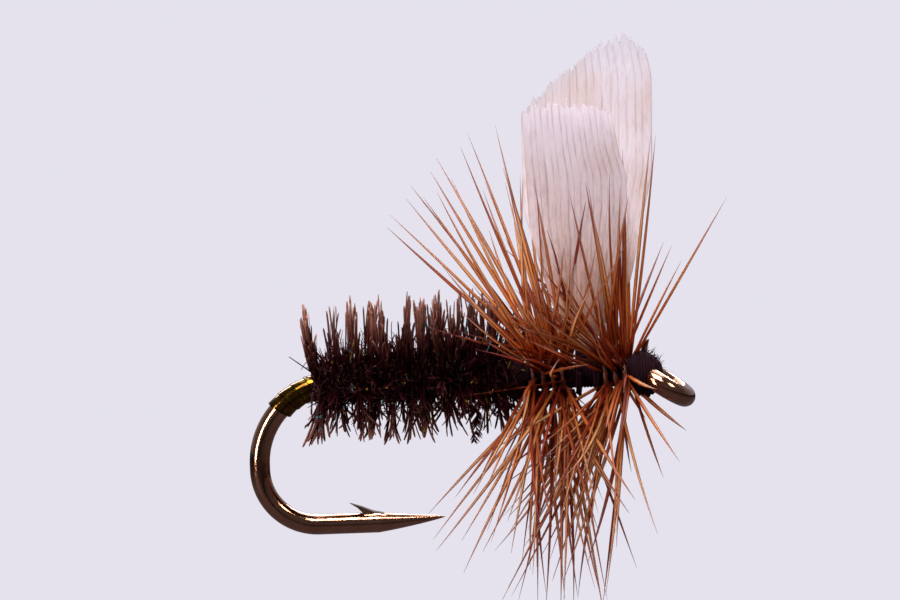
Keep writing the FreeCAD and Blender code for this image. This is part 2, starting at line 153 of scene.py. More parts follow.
def strands(name, centres, wide, thick, facing, sides=6, **layers):
    """Closed tapered strands in one mesh.

    centres is (strand, step, xyz). wide and thick are half sizes, one for all or (strand, step).
    facing is the direction of the flat side, one for all or one for each strand. layers are extra
    values for the material, one for all or one for each strand.
    """
    count, steps = centres.shape[:2]
    tangent = unit(np.gradient(centres, axis=1))
    facing = np.broadcast_to(np.asarray(facing, float).reshape(-1, 1, 3), centres.shape)
    across = unit(np.cross(tangent, facing))
    normal = np.cross(across, tangent)
    angle = (np.arange(sides) + 0.5) * FULL_TURN / sides
    wide = np.broadcast_to(wide, (count, steps))[..., None, None]
    thick = np.broadcast_to(thick, (count, steps))[..., None, None]
    points = centres[:, :, None] + wide * np.cos(angle)[:, None] * across[:, :, None]
    points = points + thick * np.sin(angle)[:, None] * normal[:, :, None]

    index = np.arange(count * steps * sides).reshape(count, steps, sides)
    caps = np.concatenate([index[:, 0, ::-1], index[:, -1]])
    values = {
        "along": np.broadcast_to(np.linspace(0, 1, steps)[None, :, None], index.shape),
        "round": np.broadcast_to(1 - np.cos(angle)[None, None] ** 2, index.shape),
    }
    for layer, value in layers.items():
        values[layer] = np.broadcast_to(np.asarray(value, float).reshape(-1, 1, 1), index.shape)
    return make_object(name, points, tube_quads(index), caps, values)


def rope(name, points, facing, radius, lobes=3, depth=0.12, twist=0.35, sides=12):
    """One long strand with a lobed section that turns as it goes, like twisted thread."""
    tangent = unit(np.gradient(points, axis=0))
    across = unit(np.cross(tangent, facing))
    normal = np.cross(across, tangent)
    run = np.concatenate([[0], np.cumsum(np.linalg.norm(np.diff(points, axis=0), axis=1))])
    angle = np.arange(sides) * FULL_TURN / sides
    swell = 1 + depth * np.cos(lobes * angle[None] - FULL_TURN * run[:, None] / twist)
    reach = (np.broadcast_to(radius, len(points))[:, None] * swell)[..., None]
    ring = points[:, None] + reach * (
        np.cos(angle)[None, :, None] * across[:, None] + np.sin(angle)[None, :, None] * normal[:, None]
    )
    index = np.arange(len(points) * sides).reshape(-1, sides)
    caps = np.stack([index[0, ::-1], index[-1]])
    values = {
        "along": np.broadcast_to(np.linspace(0, 1, len(points))[:, None], index.shape),
        "round": np.broadcast_to((swell - 1) / max(depth, 1e-6), index.shape),
    }
    return make_object(name, ring, tube_quads(index), caps, values)


def coil(rear, front, pitch, radius, phase=0.0, steps_per_turn=40):
    """Points and outward directions of a helix round the shank. radius may be a function of x."""
    turns = (front - rear) / pitch
    turn = np.linspace(0, FULL_TURN * turns, max(8, int(steps_per_turn * turns)))
    x = rear + (front - rear) * turn / turn[-1]
    reach = radius(x) if callable(radius) else radius
    points = around_shank(x, reach, turn + phase)
    return points, outward_from_shank(turn + phase)


def join(name, pieces):
    """Several mesh objects made into one."""
    with bpy.context.temp_override(
        active_object=pieces[0], object=pieces[0], selected_editable_objects=pieces
    ):
        bpy.ops.object.join()
    pieces[0].name = name
    return pieces[0]


def along_shank(name, node, degrees, steps, radius, wide, thick, **layers):
    """Strands bound along the shank over a node's length, at the given turns from the top."""
    low, high = box_mm(node)
    run = np.linspace(low[0], high[0], steps)
    lines = np.stack([around_shank(run, radius, angle) for angle in np.radians(degrees)])
    return strands(name, lines, wide, thick, [0, 0, 1], **layers)


def place_piece(piece, slot, *nodes):
    """Give a piece its slot's material and tie it to the frame, in place of any CAD nodes named."""
    piece.data.materials.clear()
    piece.data.materials.append(MATERIALS[slot])
    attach(piece, "root")
    if nodes:
        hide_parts(*nodes)


# ---------------------------------------------------------------- materials


def srgb(red, green, blue):
    """A colour as seen on a screen, 0 to 255, turned into the linear colour that nodes use."""
    parts = np.array([red, green, blue]) / 255
    linear = np.where(parts <= 0.04045, parts / 12.92, ((parts + 0.055) / 1.055) ** 2.4)
    return (*linear.tolist(), 1.0)


class Nodes:
    """The node tree of a material or a world."""

    def __init__(self, owner):
        owner.use_nodes = True
        self.tree = owner.node_tree

    def add(self, kind, inputs=None, **settings):
        node = self.tree.nodes.new(kind)
        for key, value in settings.items():
            setattr(node, key, value)
        for key, value in (inputs or {}).items():
            self.feed(node.inputs[key], value)
        return node

    def feed(self, socket, value):
        if isinstance(value, bpy.types.NodeSocket):
            self.tree.links.new(value, socket)
        else:
            socket.default_value = value


class Shader(Nodes):
    """One material, with short calls for the nodes used here."""

    def __init__(self, name):
        self.material = bpy.data.materials.new(name)
        super().__init__(self.material)
        self.surface = self.tree.nodes["Principled BSDF"]
        self.output = self.tree.nodes["Material Output"]

    def set(self, **inputs):
        for key, value in inputs.items():
            self.feed(self.surface.inputs[key.replace("_", " ").title().replace("Ior", "IOR")], value)

    def value(self, layer):
        return self.add("ShaderNodeAttribute", attribute_name=layer).outputs["Fac"]

    def noise(self, size, detail=3.0, stretch=(1, 1, 1)):
        """Noise whose features are about size millimetres across, stretched along the axes."""
        where = self.add("ShaderNodeTexCoord").outputs["Object"]
        scale = [1 / (size * MM * part) for part in stretch]
        mapping = self.add("ShaderNodeMapping", {"Vector": where, "Scale": scale})
        node = self.add("ShaderNodeTexNoise", {"Vector": mapping.outputs[0], "Scale": 1.0, "Detail": detail})
        return node.outputs["Fac"]

    def math(self, operation, first, second=0.5):
        node = self.add("ShaderNodeMath", {0: first, 1: second}, operation=operation)
        return node.outputs[0]

    def ramp(self, factor, *stops):
        """Colours at places from 0 to 1: each three screen values, or one number for a linear grey."""
        node = self.add("ShaderNodeValToRGB", {"Fac": factor})
        elements = node.color_ramp.elements
        while len(elements) < len(stops):
            elements.new(0.5)
        for element, (position, colour) in zip(elements, stops):
            element.position = position
            element.color = srgb(*colour) if isinstance(colour, tuple) else (colour, colour, colour, 1)
        return node.outputs["Color"]

    def mix(self, factor, first, second, blend="MIX"):
        node = self.add("ShaderNodeMix", data_type="RGBA", blend_type=blend)
        sockets = [socket for socket in node.inputs if socket.enabled]
        for socket, value in zip(sockets, (factor, first, second)):
            self.feed(socket, value)
        return [socket for socket in node.outputs if socket.enabled][0]

    def bump(self, height, depth, strength=1.0):
        """Surface relief: height is 0 to 1, depth its size in millimetres."""
        node = self.add("ShaderNodeBump", {"Height": height, "Distance": depth * MM, "Strength": strength})
        self.feed(self.surface.inputs["Normal"], node.outputs[0])

    def blend_in(self, share, other):
        """Show a share of another shader in place of the surface."""
        inputs = {"Fac": share, 1: self.surface.outputs[0], 2: other.outputs[0]}
        both = self.add("ShaderNodeMixShader", inputs)
        self.feed(self.output.inputs["Surface"], both.outputs[0])

    def glow_through(self, colour, share):
        """Let part of the light through, as a thin fibre or feather does."""
        self.blend_in(share, self.add("ShaderNodeBsdfTranslucent", {"Color": colour}))


def bronze_wire():
    """Bronzed hook wire under clear lacquer, with fine marks drawn along it and small dull spots."""
    shader = Shader("bronze_wire")
    patches = shader.noise(0.5, 4)
    specks = shader.noise(0.05, 5)
    colour = shader.ramp(patches, (0.3, (172, 114, 84)), (0.7, (196, 142, 108)))
    colour = shader.mix(shader.math("MULTIPLY", specks, 0.5), colour, srgb(110, 62, 40))
    dull = shader.ramp(specks, (0.35, 0.07), (0.75, 0.17))
    shader.set(base_color=colour, metallic=1.0, roughness=dull)
    shader.set(coat_weight=0.8, coat_roughness=0.05, coat_ior=1.6)
    shader.bump(specks, 0.003)
    return shader.material


def gold_tinsel():
    """Flat metal tinsel: olive gold with shallow creases, bright yellow where it catches light, and painted
    shade along the edge of each wrap where it steps onto the next.
    """
    shader = Shader("gold_tinsel")
    creases = shader.noise(0.2, 3)
    fine = shader.noise(0.05, 3)
    colour = shader.ramp(creases, (0.3, (70, 44, 18)), (0.6, (112, 80, 24)), (0.8, (176, 142, 32)))
    # Painted shade: a dark line along each wrap's front edge, where it lies on the next wrap.
    wrap_edge_shade = shader.ramp(shader.value("edge"), (0.78, 1), (0.97, 0.22))
    colour = shader.mix(1.0, colour, wrap_edge_shade, "MULTIPLY")
    shader.set(base_color=colour, metallic=1.0, roughness=0.13)
    shader.bump(shader.math("MULTIPLY_ADD", creases, fine), 0.003)
    return shader.material


def grained(name, size, detail, dark, light, roughness, shine, depth):
    """A plain fibre: two colours in a fine grain that also stands up a little."""
    shader = Shader(name)
    grain = shader.noise(size, detail)
    shader.set(base_color=shader.ramp(grain, dark, light), roughness=roughness, specular_ior_level=shine)
    shader.bump(grain, depth)
    return shader.material


def black_thread():
    """Waxed black tying thread: nearly black, with a faint violet sheen on its filaments."""
    dark, light = (0.35, (22, 5, 11)), (0.75, (42, 22, 32))
    return grained("black_thread", 0.03, 4, dark, light, roughness=0.8, shine=0.05, depth=0.01)


def herl_quill():
    """The smooth brown quill of a peacock herl."""
    dark, light = (0.3, (30, 6, 10)), (0.7, (52, 18, 20))
    return grained("herl_quill", 0.05, 3, dark, light, roughness=0.6, shine=0.08, depth=0.006)


def hackle_stem():
    """The hackle feather's quill: dark brown, smooth, a little glossy."""
    dark, light = (0.3, (60, 18, 10)), (0.7, (112, 48, 24))
    return grained("hackle_stem", 0.06, 3, dark, light, roughness=0.4, shine=0.5, depth=0.006)


def herl_flue():
    """Peacock barbules: maroon-black at the root, mauve-brown further out, darker on the body's sides by
    painted shade, with painted green-gold or blue glints on a few.
    """
    shader = Shader("herl_flue")
    along = shader.value("along")
    hue = shader.value("hue")
    brown = shader.ramp(along, (0.2, (58, 12, 18)), (0.45, (122, 64, 58)), (1.0, (200, 142, 126)))
    gold = shader.ramp(along, (0.1, (70, 56, 8)), (0.6, (190, 170, 40)), (1.0, (130, 96, 50)))
    blue = shader.ramp(along, (0.1, (8, 30, 30)), (0.7, (60, 140, 150)), (1.0, (90, 100, 110)))
    # The mix towards maroon-black is partly the barbules' own tone and partly painted shade on the barbules
    # at the body's sides.
    brown = shader.mix(shader.value("tone"), srgb(46, 4, 14), brown)
    # Painted glints: green-gold and blue colour in small patches on barbules with a high hue, standing in for
    # the herl's iridescent sheen.
    patch = shader.math("GREATER_THAN", shader.noise(0.14, 1), 0.55)
    painted_gold_glint = shader.math("MULTIPLY", patch, shader.math("GREATER_THAN", hue, 0.94))
    painted_blue_glint = shader.math("MULTIPLY", patch, shader.math("GREATER_THAN", hue, 0.98))
    colour = shader.mix(painted_gold_glint, brown, gold)
    colour = shader.mix(painted_blue_glint, colour, blue)
    grain = shader.noise(0.02, 2)
    shade = shader.ramp(grain, (0.2, 0.6), (0.8, 1))
    colour = shader.mix(1.0, colour, shade, "MULTIPLY")
    shader.set(base_color=colour, roughness=0.55, specular_ior_level=0.05)
    shader.bump(grain, 0.004)
    shader.glow_through(colour, 0.4)
    return shader.material


def hackle_barb():
    """Brown cock hackle: mahogany root, rust middle, tan and mauve tip. Light glows through it."""
    shader = Shader("hackle_barb")
    along = shader.value("along")
    hue = shader.value("hue")
    rust = shader.ramp(
        along,
        (0.0, (150, 40, 18)),
        (0.2, (200, 80, 36)),
        (0.5, (216, 118, 64)),
        (0.8, (206, 134, 100)),
        (1.0, (176, 126, 126)),
    )
    tan = shader.ramp(
        along,
        (0.0, (180, 78, 32)),
        (0.25, (232, 146, 70)),
        (0.5, (246, 194, 130)),
        (0.8, (232, 188, 158)),
        (1.0, (208, 176, 176)),
    )
    dark = shader.ramp(along, (0.0, (118, 26, 14)), (0.5, (168, 58, 32)), (1.0, (154, 96, 96)))
    colour = shader.mix(hue, rust, tan)
    darker = shader.ramp(hue, (0.0, 1), (0.2, 0))
    colour = shader.mix(darker, colour, dark)
    middle = shader.ramp(shader.value("round"), (0.3, (168, 128, 120)), (0.9, 1))
    colour = shader.mix(1.0, colour, middle, "MULTIPLY")
    streak = shader.noise(0.7, 2)
    colour = shader.mix(shader.math("MULTIPLY", streak, 0.3), colour, srgb(140, 60, 30))
    shader.set(base_color=colour, roughness=0.5, specular_ior_level=0.22)
    shader.set(alpha=shader.ramp(along, (0.55, 1), (1.0, 0.6)))
    shader.bump(shader.noise(0.09, 2), 0.002)
    shader.glow_through(colour, 0.48)
    return shader.material


def white_quill():
    """A white wing quill slip: pale mauve-white, browner towards its root, with fine see-through streaks and
    painted shade in the valleys between barbs.
    """
    shader = Shader("white_quill")
    along = shader.value("along")
    pale = shader.ramp(
        along,
        (0.0, (176, 112, 88)),
        (0.18, (206, 160, 142)),
        (0.5, (228, 214, 218)),
        (1.0, (208, 200, 211)),
    )
    stain = shader.ramp(shader.noise(0.9, 2, (1, 1, 3)), (0.45, 0), (0.7, 0.45))
    pale = shader.mix(stain, pale, srgb(196, 166, 152))
    # Painted shade: the colour darkens where round falls to 0, in the valleys between barbs. The noise sets
    # how much of it shows, patch by patch.
    ridge = shader.ramp(shader.value("round"), (0.0, (206, 190, 184)), (0.6, 1))
    uneven_valley_shade = shader.ramp(shader.noise(0.35, 2, (1, 1, 3)), (0.35, 0.1), (0.65, 0.8))
    colour = shader.mix(uneven_valley_shade, pale, shader.mix(1.0, pale, ridge, "MULTIPLY"))
    streak = shader.ramp(shader.noise(0.06, 3, (1, 1, 22)), (0.45, 0), (0.75, 1))
    fading = shader.ramp(along, (0.1, 0.6), (0.75, 0.22))
    colour = shader.mix(shader.math("MULTIPLY", streak, fading), colour, srgb(140, 112, 98))
    shader.set(base_color=colour, roughness=0.5, specular_ior_level=0.3)
    body = shader.ramp(along, (0.0, 0.9), (0.5, 0.52))
    thin_tip = shader.ramp(shader.value("tip"), (0.9, 1), (1.0, 0.1))
    shader.set(alpha=shader.math("MULTIPLY", body, thin_tip))
    shader.bump(shader.noise(0.035, 3, (1, 1, 2)), 0.004)
    shader.glow_through(colour, 0.4)
    return shader.material


MATERIALS = {
    "hook_wire": bronze_wire(),
    "gold_tinsel": gold_tinsel(),
    "black_thread": black_thread(),
    "herl_quill": herl_quill(),
    "herl_fringe": herl_flue(),
    "hackle_barb": hackle_barb(),
    "hackle_stem": hackle_stem(),
    "white_quill": white_quill(),
}


# ---------------------------------------------------------------- hook

UPPER_BEND = 2.2
LOWER_BEND = 1.58
POINT_LENGTH = 1.92
REAR_X = hook_low[0] + WIRE
SPEAR_Z = hook_low[2] + WIRE
BEND_X = REAR_X + UPPER_BEND
BEND_Z = SHANK_Z - UPPER_BEND
LOWER_Z = SPEAR_Z + LOWER_BEND
SPEAR_X = REAR_X + LOWER_BEND
TAPER_X = SPEAR_X + 1.55
BARB_TIP_X = TAPER_X - 0.69


def eye_ring(turn):
    """Points on the centre line of the eye. turn is 0 at the front and grows towards +Y."""
    forward = np.array([math.cos(EYE_TILT), 0, -math.sin(EYE_TILT)])
    sideways = np.array([0, 1, 0])
    return EYE_RADIUS * (np.cos(turn)[:, None] * forward + np.sin(turn)[:, None] * sideways)


def arc(x, z, radius, start, end, steps):
    """Points on an arc in the hook's plane. Angles are degrees from straight ahead."""
    angle = np.radians(np.linspace(start, end, steps))
    return in_hook_plane(x + radius * np.cos(angle), z + radius * np.sin(angle))


def wire_path():
    """The wire from the end of the eye, round the eye, along the shank and the bend to the point.

    Gives the centre line, its radius, and the direction that the wire's section faces.
    """
    ring = eye_ring(np.radians(np.linspace(158, -142, 90)))
    shank_start = np.array([-1.15, 0, SHANK_Z])
    ease = np.linspace(0, 1, 16)[1:-1, None]
    reach = 0.3
    leave = ring[-1] + unit(ring[-1] - ring[-2]) * reach
    arrive = shank_start + np.array([reach, 0, 0])
    neck = ring[-1] * (1 - ease) ** 3 + 3 * leave * ease * (1 - ease) ** 2
    neck = neck + 3 * arrive * ease**2 * (1 - ease) + shank_start * ease**3
    shank = in_hook_plane(np.linspace(shank_start[0], BEND_X, 60), SHANK_Z)
    upper = arc(BEND_X, BEND_Z, UPPER_BEND, 90, 180, 50)[1:]
    lower = arc(SPEAR_X, LOWER_Z, LOWER_BEND, 180, 270, 44)
    spear = in_hook_plane(np.linspace(SPEAR_X, TAPER_X, 20)[1:], SPEAR_Z)
    share = np.linspace(0, 1, 34)[1:]
    point = in_hook_plane(TAPER_X + POINT_LENGTH * share, SPEAR_Z + 0.1 * share**1.5)
    line = np.concatenate([ring, neck, shank, upper, lower, spear, point])
    radius = np.full(len(line), WIRE)
    radius[-len(share) :] = WIRE * (1 - share) ** 0.85 + 0.012
    radius[0] = WIRE * 0.9
    facing = np.broadcast_to([0.0, 1.0, 0.02], line.shape).copy()
    facing[: len(ring) + len(neck)] = [math.sin(EYE_TILT), 0, math.cos(EYE_TILT)]
    return line, radius, facing


def wedge(name, outline, half_widths):
    """A solid on the spear between two mirrored outlines, with its own half width at each corner."""
    outline = np.array(outline) + [BARB_TIP_X, SPEAR_Z + WIRE]
    half_widths = np.array(half_widths)
    near = np.stack([outline[:, 0], -half_widths, outline[:, 1]], axis=1)
    far = near * np.array([1, -1, 1])
    count = len(outline)
    index = np.arange(count)
    after = np.roll(index, -1)
    quads = np.stack([index, after, after + count, index + count], axis=1)
    caps = np.stack([index[::-1], index + count])
    return make_object(name, np.concatenate([near, far]), quads, caps, {})


def combine(target, other, operation):
    """A mesh boolean, applied at once. The other object is used up."""
    modifier = target.modifiers.new(operation, "BOOLEAN")
    modifier.operation = operation
    modifier.object = other
    modifier.solver = "EXACT"
    with bpy.context.temp_override(object=target, active_object=target):
        bpy.ops.object.modifier_apply(modifier=modifier.name)
    bpy.data.objects.remove(other)


def sharpen(piece, degrees):
    """Smooth shading, except over edges that turn more than an angle."""
    mesh = bmesh.new()
    mesh.from_mesh(piece.data)
    bmesh.ops.recalc_face_normals(mesh, faces=mesh.faces)
    for face in mesh.faces:
        face.smooth = True
    for edge in mesh.edges:
        edge.smooth = edge.calc_face_angle(0) < math.radians(degrees)
    mesh.to_mesh(piece.data)
    mesh.free()


def make_hook():
    """The wire, with a notch cut in the spear and a barb raised in front of it."""
    line, radius, facing = wire_path()
    hook = rope("hook_wire", line, facing, radius, lobes=1, depth=0.0, sides=40)
    # Both outlines are distances in front of the barb's tip and above the spear's top.
    notch = wedge(
        "notch",
        [(0.17, 0.1), (0.23, -0.02), (0.41, -0.13), (0.53, -0.02), (0.53, 0.1)],
        [0.3, 0.3, 0.3, 0.3, 0.3],
    )
    combine(hook, notch, "DIFFERENCE")
    barb = wedge(
        "barb",
        [
            (0, 0.29),
            (0.21, 0.16),
            (0.39, -0.02),
            (0.43, -0.14),
            (1.03, -0.14),
            (0.97, -0.03),
            (0.63, 0.05),
            (0.33, 0.18),
        ],
        [0.07, 0.12, 0.15, 0.17, 0.17, 0.14, 0.12, 0.09],
    )
    combine(hook, barb, "UNION")
    sharpen(hook, 38)
    place_piece(hook, "hook_wire", "hook")


# ---------------------------------------------------------------- tinsel tag


def make_tinsel():
    """Flat tinsel wound in slanting wraps round the start of the bend, each edge lying on the last."""
    # Angles are degrees round the bend from where the straight shank ends.
    rear, front = 48.0, 8.0
    wraps = 3.3
    turn = np.linspace(0, FULL_TURN * wraps, 260)
    middle = np.linspace(rear - 6, front + 3, 260)
    share = np.linspace(-1, 1, 12)
    half_width = 7.2
    sheet = 0.012
    bend = np.radians(np.clip(middle[:, None] + half_width * share[None], front, rear))
    layer = WIRE + 0.02 + 0.045 * (share[None] + 1) / 2
    rings = []
    for lift in (0.0, sheet):
        reach = layer + lift
        outward = np.cos(turn)[:, None] * reach
        sideways = -np.sin(turn)[:, None] * reach
        radius = UPPER_BEND + outward
        points = np.stack(
            [BEND_X - radius * np.sin(bend), sideways, BEND_Z + radius * np.cos(bend)], axis=-1
        )
        rings.append(points)
    ring = np.concatenate([rings[0], rings[1][:, ::-1]], axis=1)
    index = np.arange(ring.shape[0] * ring.shape[1]).reshape(ring.shape[:2])
    caps = np.stack([index[0, ::-1], index[-1]])
    edge = np.concatenate([share, share[::-1]]).clip(0, 1)
    layers = {"edge": np.broadcast_to(edge, index.shape)}
    tag = make_object("tinsel_wraps", ring, tube_quads(index), caps, layers)
    sharpen(tag, 40)
    place_piece(tag, "gold_tinsel", "tinsel_tag")


# ---------------------------------------------------------------- herl body


def body_share(x):
    """0 at the rear of the herl body and 1 at its front."""
    return np.clip((x - BODY_REAR) / (BODY_FRONT - BODY_REAR), 0, 1)


def flue_reach(x, turn):
    """How far the longest barbules stand from the shank's axis: most at the top, least underneath."""
    top = 2.2 + 0.4 * body_share(x)
    bottom = 1.68
    return bottom + (top - bottom) * (1 + np.cos(turn)) / 2


def core_reach(x, turn):
    """How far the dense underlayer stands from the shank's axis."""
    top = 0.95 + 0.45 * body_share(x)
    bottom = 0.54
    return bottom + (top - bottom) * (1 + np.cos(turn)) / 2


def ridge_x(turn, number=1):
    """Where one of the three wound herls is along the shank after a turn."""
    return FLUE_REAR + HERL_LEAD * turn / FULL_TURN + HERL_LEAD * (number - 1) / 3


def tall_barbules(number, pairs_per_turn):
    """Long barbules of one herl, in pairs that part near the tip, gathered into ridges of tufts.

    Each tuft leans its own way, and each half turn does too. Both are the same for all three herls.
    """
    pairs = int(FLUE_TURNS * pairs_per_turn)
    count = 2 * pairs
    turn = np.repeat(random.uniform(-1.4, FULL_TURN * FLUE_TURNS, pairs), 2)
    ridge = ridge_x(turn)
    tuft = np.round(turn / FULL_TURN * TUFTS_PER_TURN)
    whole_turns = int(FLUE_TURNS + 2)
    tuft_lean = np.random.default_rng(7).normal(0, 1, (whole_turns * TUFTS_PER_TURN, 3))
    half_turn_lean = np.random.default_rng(5916).normal(0, 1, (2 * whole_turns, 3))
    lean = 0.35 * tuft_lean[tuft.astype(int)] + half_turn_lean[np.round(turn / math.pi).astype(int)]
    loose = np.clip((body_share(ridge) - 0.6) / 0.25, 0, 1)
    rear_flare = np.clip((FLUE_REAR + 0.8 - ridge) / 0.8, 0, 1)
    front_flare = np.clip((ridge - BODY_FRONT + 0.5) / 0.5, 0, 1)
    under = np.cos(turn) < -0.3

    stray = np.repeat(random.uniform(0, 1, pairs) < 0.2, 2)
    own_x = np.repeat(random.normal(0, 1, pairs), 2) * (0.06 + 0.12 * loose + 0.12 * stray)
    aim_x = ridge + 0.12 * lean[:, 1] + own_x - 0.22 * rear_flare * np.abs(np.cos(turn)) + 0.35 * front_flare
    aim_turn = tuft / TUFTS_PER_TURN * FULL_TURN + 0.1 * lean[:, 0]
    aim_turn = aim_turn + np.repeat(random.normal(0, 0.035, pairs), 2) * (1 + 2 * loose)
    root_x = ridge + HERL_LEAD * (number - 1) / 3 * 0.6 - 0.1 + 0.5 * own_x
    short = random.uniform(0, 1, count) < 0.28 + 0.34 * under
    reach = flue_reach(ridge, turn) * (1 + 0.07 * np.clip(lean[:, 2], -1.8, 0.8))
    reach = reach * np.where(short, random.uniform(0.5, 0.8, count), random.uniform(0.86, 1.02, count))

    share = np.array([0, 0.2, 0.4, 0.6, 0.8, 0.93, 1.0])[None]
    gather = share**0.7
    part = np.tile([-1.0, 1.0], pairs) * random.uniform(0.2, 1, count)
    fork = 0.055 * part[:, None] * (0.3 + 0.7 * share**3)
    curl_size = 0.05 + 0.11 * under + 0.08 * loose + 0.08 * stray
    curl = (random.normal(0, 1, count) * curl_size)[:, None] * share**2
    x = root_x[:, None] * (1 - gather) + aim_x[:, None] * gather + fork + curl
    angle = turn[:, None] * (1 - gather) + aim_turn[:, None] * gather + 0.4 * fork
    radius = FLUE_ROOT * (1 - share) + reach[:, None] * share
    rear_limit = BODY_REAR - 0.5 * np.abs(np.cos(turn))[:, None] ** 2
    centres = around_shank(np.clip(x, rear_limit, BODY_FRONT + 0.55), radius, angle)
    profile = np.array([0.6, 0.8, 0.95, 1, 1, 0.95, 0.5])[None]
    wide = 0.041 * profile * random.uniform(0.6, 1.2, (count, 1))
    facing = unit(random.normal(0, 0.5, (count, 1, 3)) + np.array([0, 1, 0]))
    # Painted shade: barbules at the body's sides, which face the camera, get a low value and so a darker
    # colour than those on top and underneath. The rest of the value is random tone.
    tone = (0.05 + 0.95 * np.abs(np.cos(turn)) ** 4) * (1 - 0.5 * loose) * random.uniform(0.35, 1.2, count)
    tone = tone * np.clip(1.05 + 0.35 * lean[:, 0], 0.15, 1.3)
    # A high hue gives a barbule a painted gold or blue glint; more of them near the front.
    hue = random.uniform(0, 1, count) ** (1 - 0.6 * loose)
    return centres, wide, facing, hue, tone


def short_barbules(number, count_per_turn):
    """The dense dark underlayer of one herl."""
    count = int(FLUE_TURNS * count_per_turn)
    turn = random.uniform(0, FULL_TURN * FLUE_TURNS, count)
    ridge = ridge_x(turn, number)
    share = np.linspace(0, 1, 7)[None]
    rear_flare = np.clip((FLUE_REAR + 0.6 - ridge) / 0.6, 0, 1)
    front_flare = np.clip((ridge - BODY_FRONT + 0.7) / 0.7, 0, 1)
    drift = random.normal(0, 0.17, count) - 0.2 * rear_flare + 0.4 * front_flare
    x = ridge[:, None] + drift[:, None] * share
    sweep = random.normal(0, 0.55, (count, 1)) * share**0.7
    reach = core_reach(ridge, turn) * random.uniform(0.75, 1.22, count)
    radius = FLUE_ROOT * (1 - share) + reach[:, None] * share
    centres = around_shank(np.clip(x, BODY_REAR - 0.2, BODY_FRONT + 0.6), radius, turn[:, None] + sweep)
    wide = 0.026 * (1 - 0.6 * share**6) * random.uniform(0.7, 1.2, (count, 1))
    facing = unit(random.normal(0, 1, (count, 1, 3)) + np.array([0, 1.2, 0]))
    # A hue above 0.94 gives a painted gold glint, most often at the front of the body.
    glint = random.uniform(0, 0.955, count) + 0.03 * (body_share(ridge) > 0.55)
    return centres, wide, facing, glint, np.full(count, 0.03)


def curly_barbules(number, count_per_turn):
    """Thin dark barbules of one herl that curl out between the tufts."""
    count = int(FLUE_TURNS * count_per_turn)
    turn = random.uniform(0, FULL_TURN * FLUE_TURNS, count)
    ridge = ridge_x(turn, number)
    share = np.linspace(0, 1, 9)[None]
    reach = flue_reach(ridge, turn) * random.uniform(0.55, 0.82, count)
    hook = random.normal(0, 1, (count, 1)) * share**2.5
    radius = FLUE_ROOT + (reach - FLUE_ROOT)[:, None] * (share - 0.35 * np.abs(hook) * share).clip(0, 1)
    x = ridge[:, None] + random.normal(0, 0.12, (count, 1)) * share + 0.32 * hook
    angle = turn[:, None] + random.normal(0, 0.25, (count, 1)) * share
    centres = around_shank(np.clip(x, BODY_REAR - 0.3, BODY_FRONT + 0.4), radius, angle)
    wide = 0.017 * (1 - 0.5 * share**4) * random.uniform(0.8, 1.2, (count, 1))
    facing = unit(random.normal(0, 0.6, (count, 1, 3)) + np.array([0, 1, 0]))
    return centres, wide, facing, random.uniform(0, 0.96, count), np.full(count, 0.1)


def make_herl():
    """Three herls wound side by side: each a smooth quill and the barbules that stand out from it."""
    for number in (1, 2, 3):
        phase = FULL_TURN * (number - 1) / 3
        points, outward = coil(BODY_REAR, BODY_FRONT, HERL_LEAD, FLUE_ROOT, phase, steps_per_turn=36)
        quill = rope(f"herl_quill_wound_{number}", points, outward, QUILL_RADIUS, lobes=2, depth=0.1, sides=8)
        place_piece(quill, "herl_quill", f"herl_quill_{number}")
        groups = [tall_barbules(number, 17), short_barbules(number, 84), curly_barbules(number, 13)]
        parts = []
        for centres, wide, facing, hue, tone in groups:
            parts.append(strands("part", centres, wide, wide * 0.3, facing, sides=4, hue=hue, tone=tone))
        flue = join(f"herl_barbules_{number}", parts)
        place_piece(flue, "herl_fringe", f"herl_fringe_{number}")


def make_stiff_fibre():
    """A stiff fibre that stands out behind the body."""
    foot = np.array([BODY_REAR + 0.35, -0.25, SHANK_Z + 0.1])
    line = np.linspace(foot, foot + [-0.95, -0.05, 0.72], 6)
    taper = np.linspace(0.028, 0.012, 6)
    fibre = strands("stiff_fibre", line[None], taper, taper, [0, 1, 0], tone=0)
    place_piece(fibre, "herl_fringe")


def make_loose_tip():
    """A herl's tip that hangs loose under the body, with barbules on both sides."""
    low, high = box_mm("herl_loose_tip")
    x = (low[0] + high[0]) / 2
    top = SHANK_Z - BASE_RADIUS
    long = top - low[2]
    share = np.linspace(0, 1, 10)
    line = np.stack([x + 0.12 * np.sin(share * 3), 0.05 * share, top - long * share], axis=1)
    taper = 0.028 * (1.1 - share)
    quill = strands("loose_quill", line[None], taper, taper, [0, 1, 0], hue=0.2, tone=0.3)
    count = 54
    at = random.uniform(0.3, 1.0, count)
    side = np.where(np.arange(count) % 2, 1, -1)
    length = 0.42 * np.sqrt(np.clip(1.15 - at, 0.05, 1)) * random.uniform(0.7, 1.1, count)
    spread = np.linspace(0, 1, 5)[None]
    root = np.stack([np.interp(at, share, line[:, axis]) for axis in range(3)], axis=1)
    away = np.stack([side * 0.62, random.normal(0, 0.35, count), -0.8 * np.ones(count)], axis=1)
    centres = root[:, None] + unit(away)[:, None] * (length[:, None] * spread)[..., None]
    wide = 0.024 * (1 - 0.7 * spread**3) * np.ones((count, 1))
    hue = random.uniform(0, 1, count)
    flat = [0, 1, 0.1]
    barbules = strands("loose_barbules", centres, wide, wide * 0.3, flat, sides=4, hue=hue, tone=0.45)
    tip = join("herl_loose_tip_feathered", [quill, barbules])
    place_piece(tip, "herl_fringe", "herl_loose_tip")


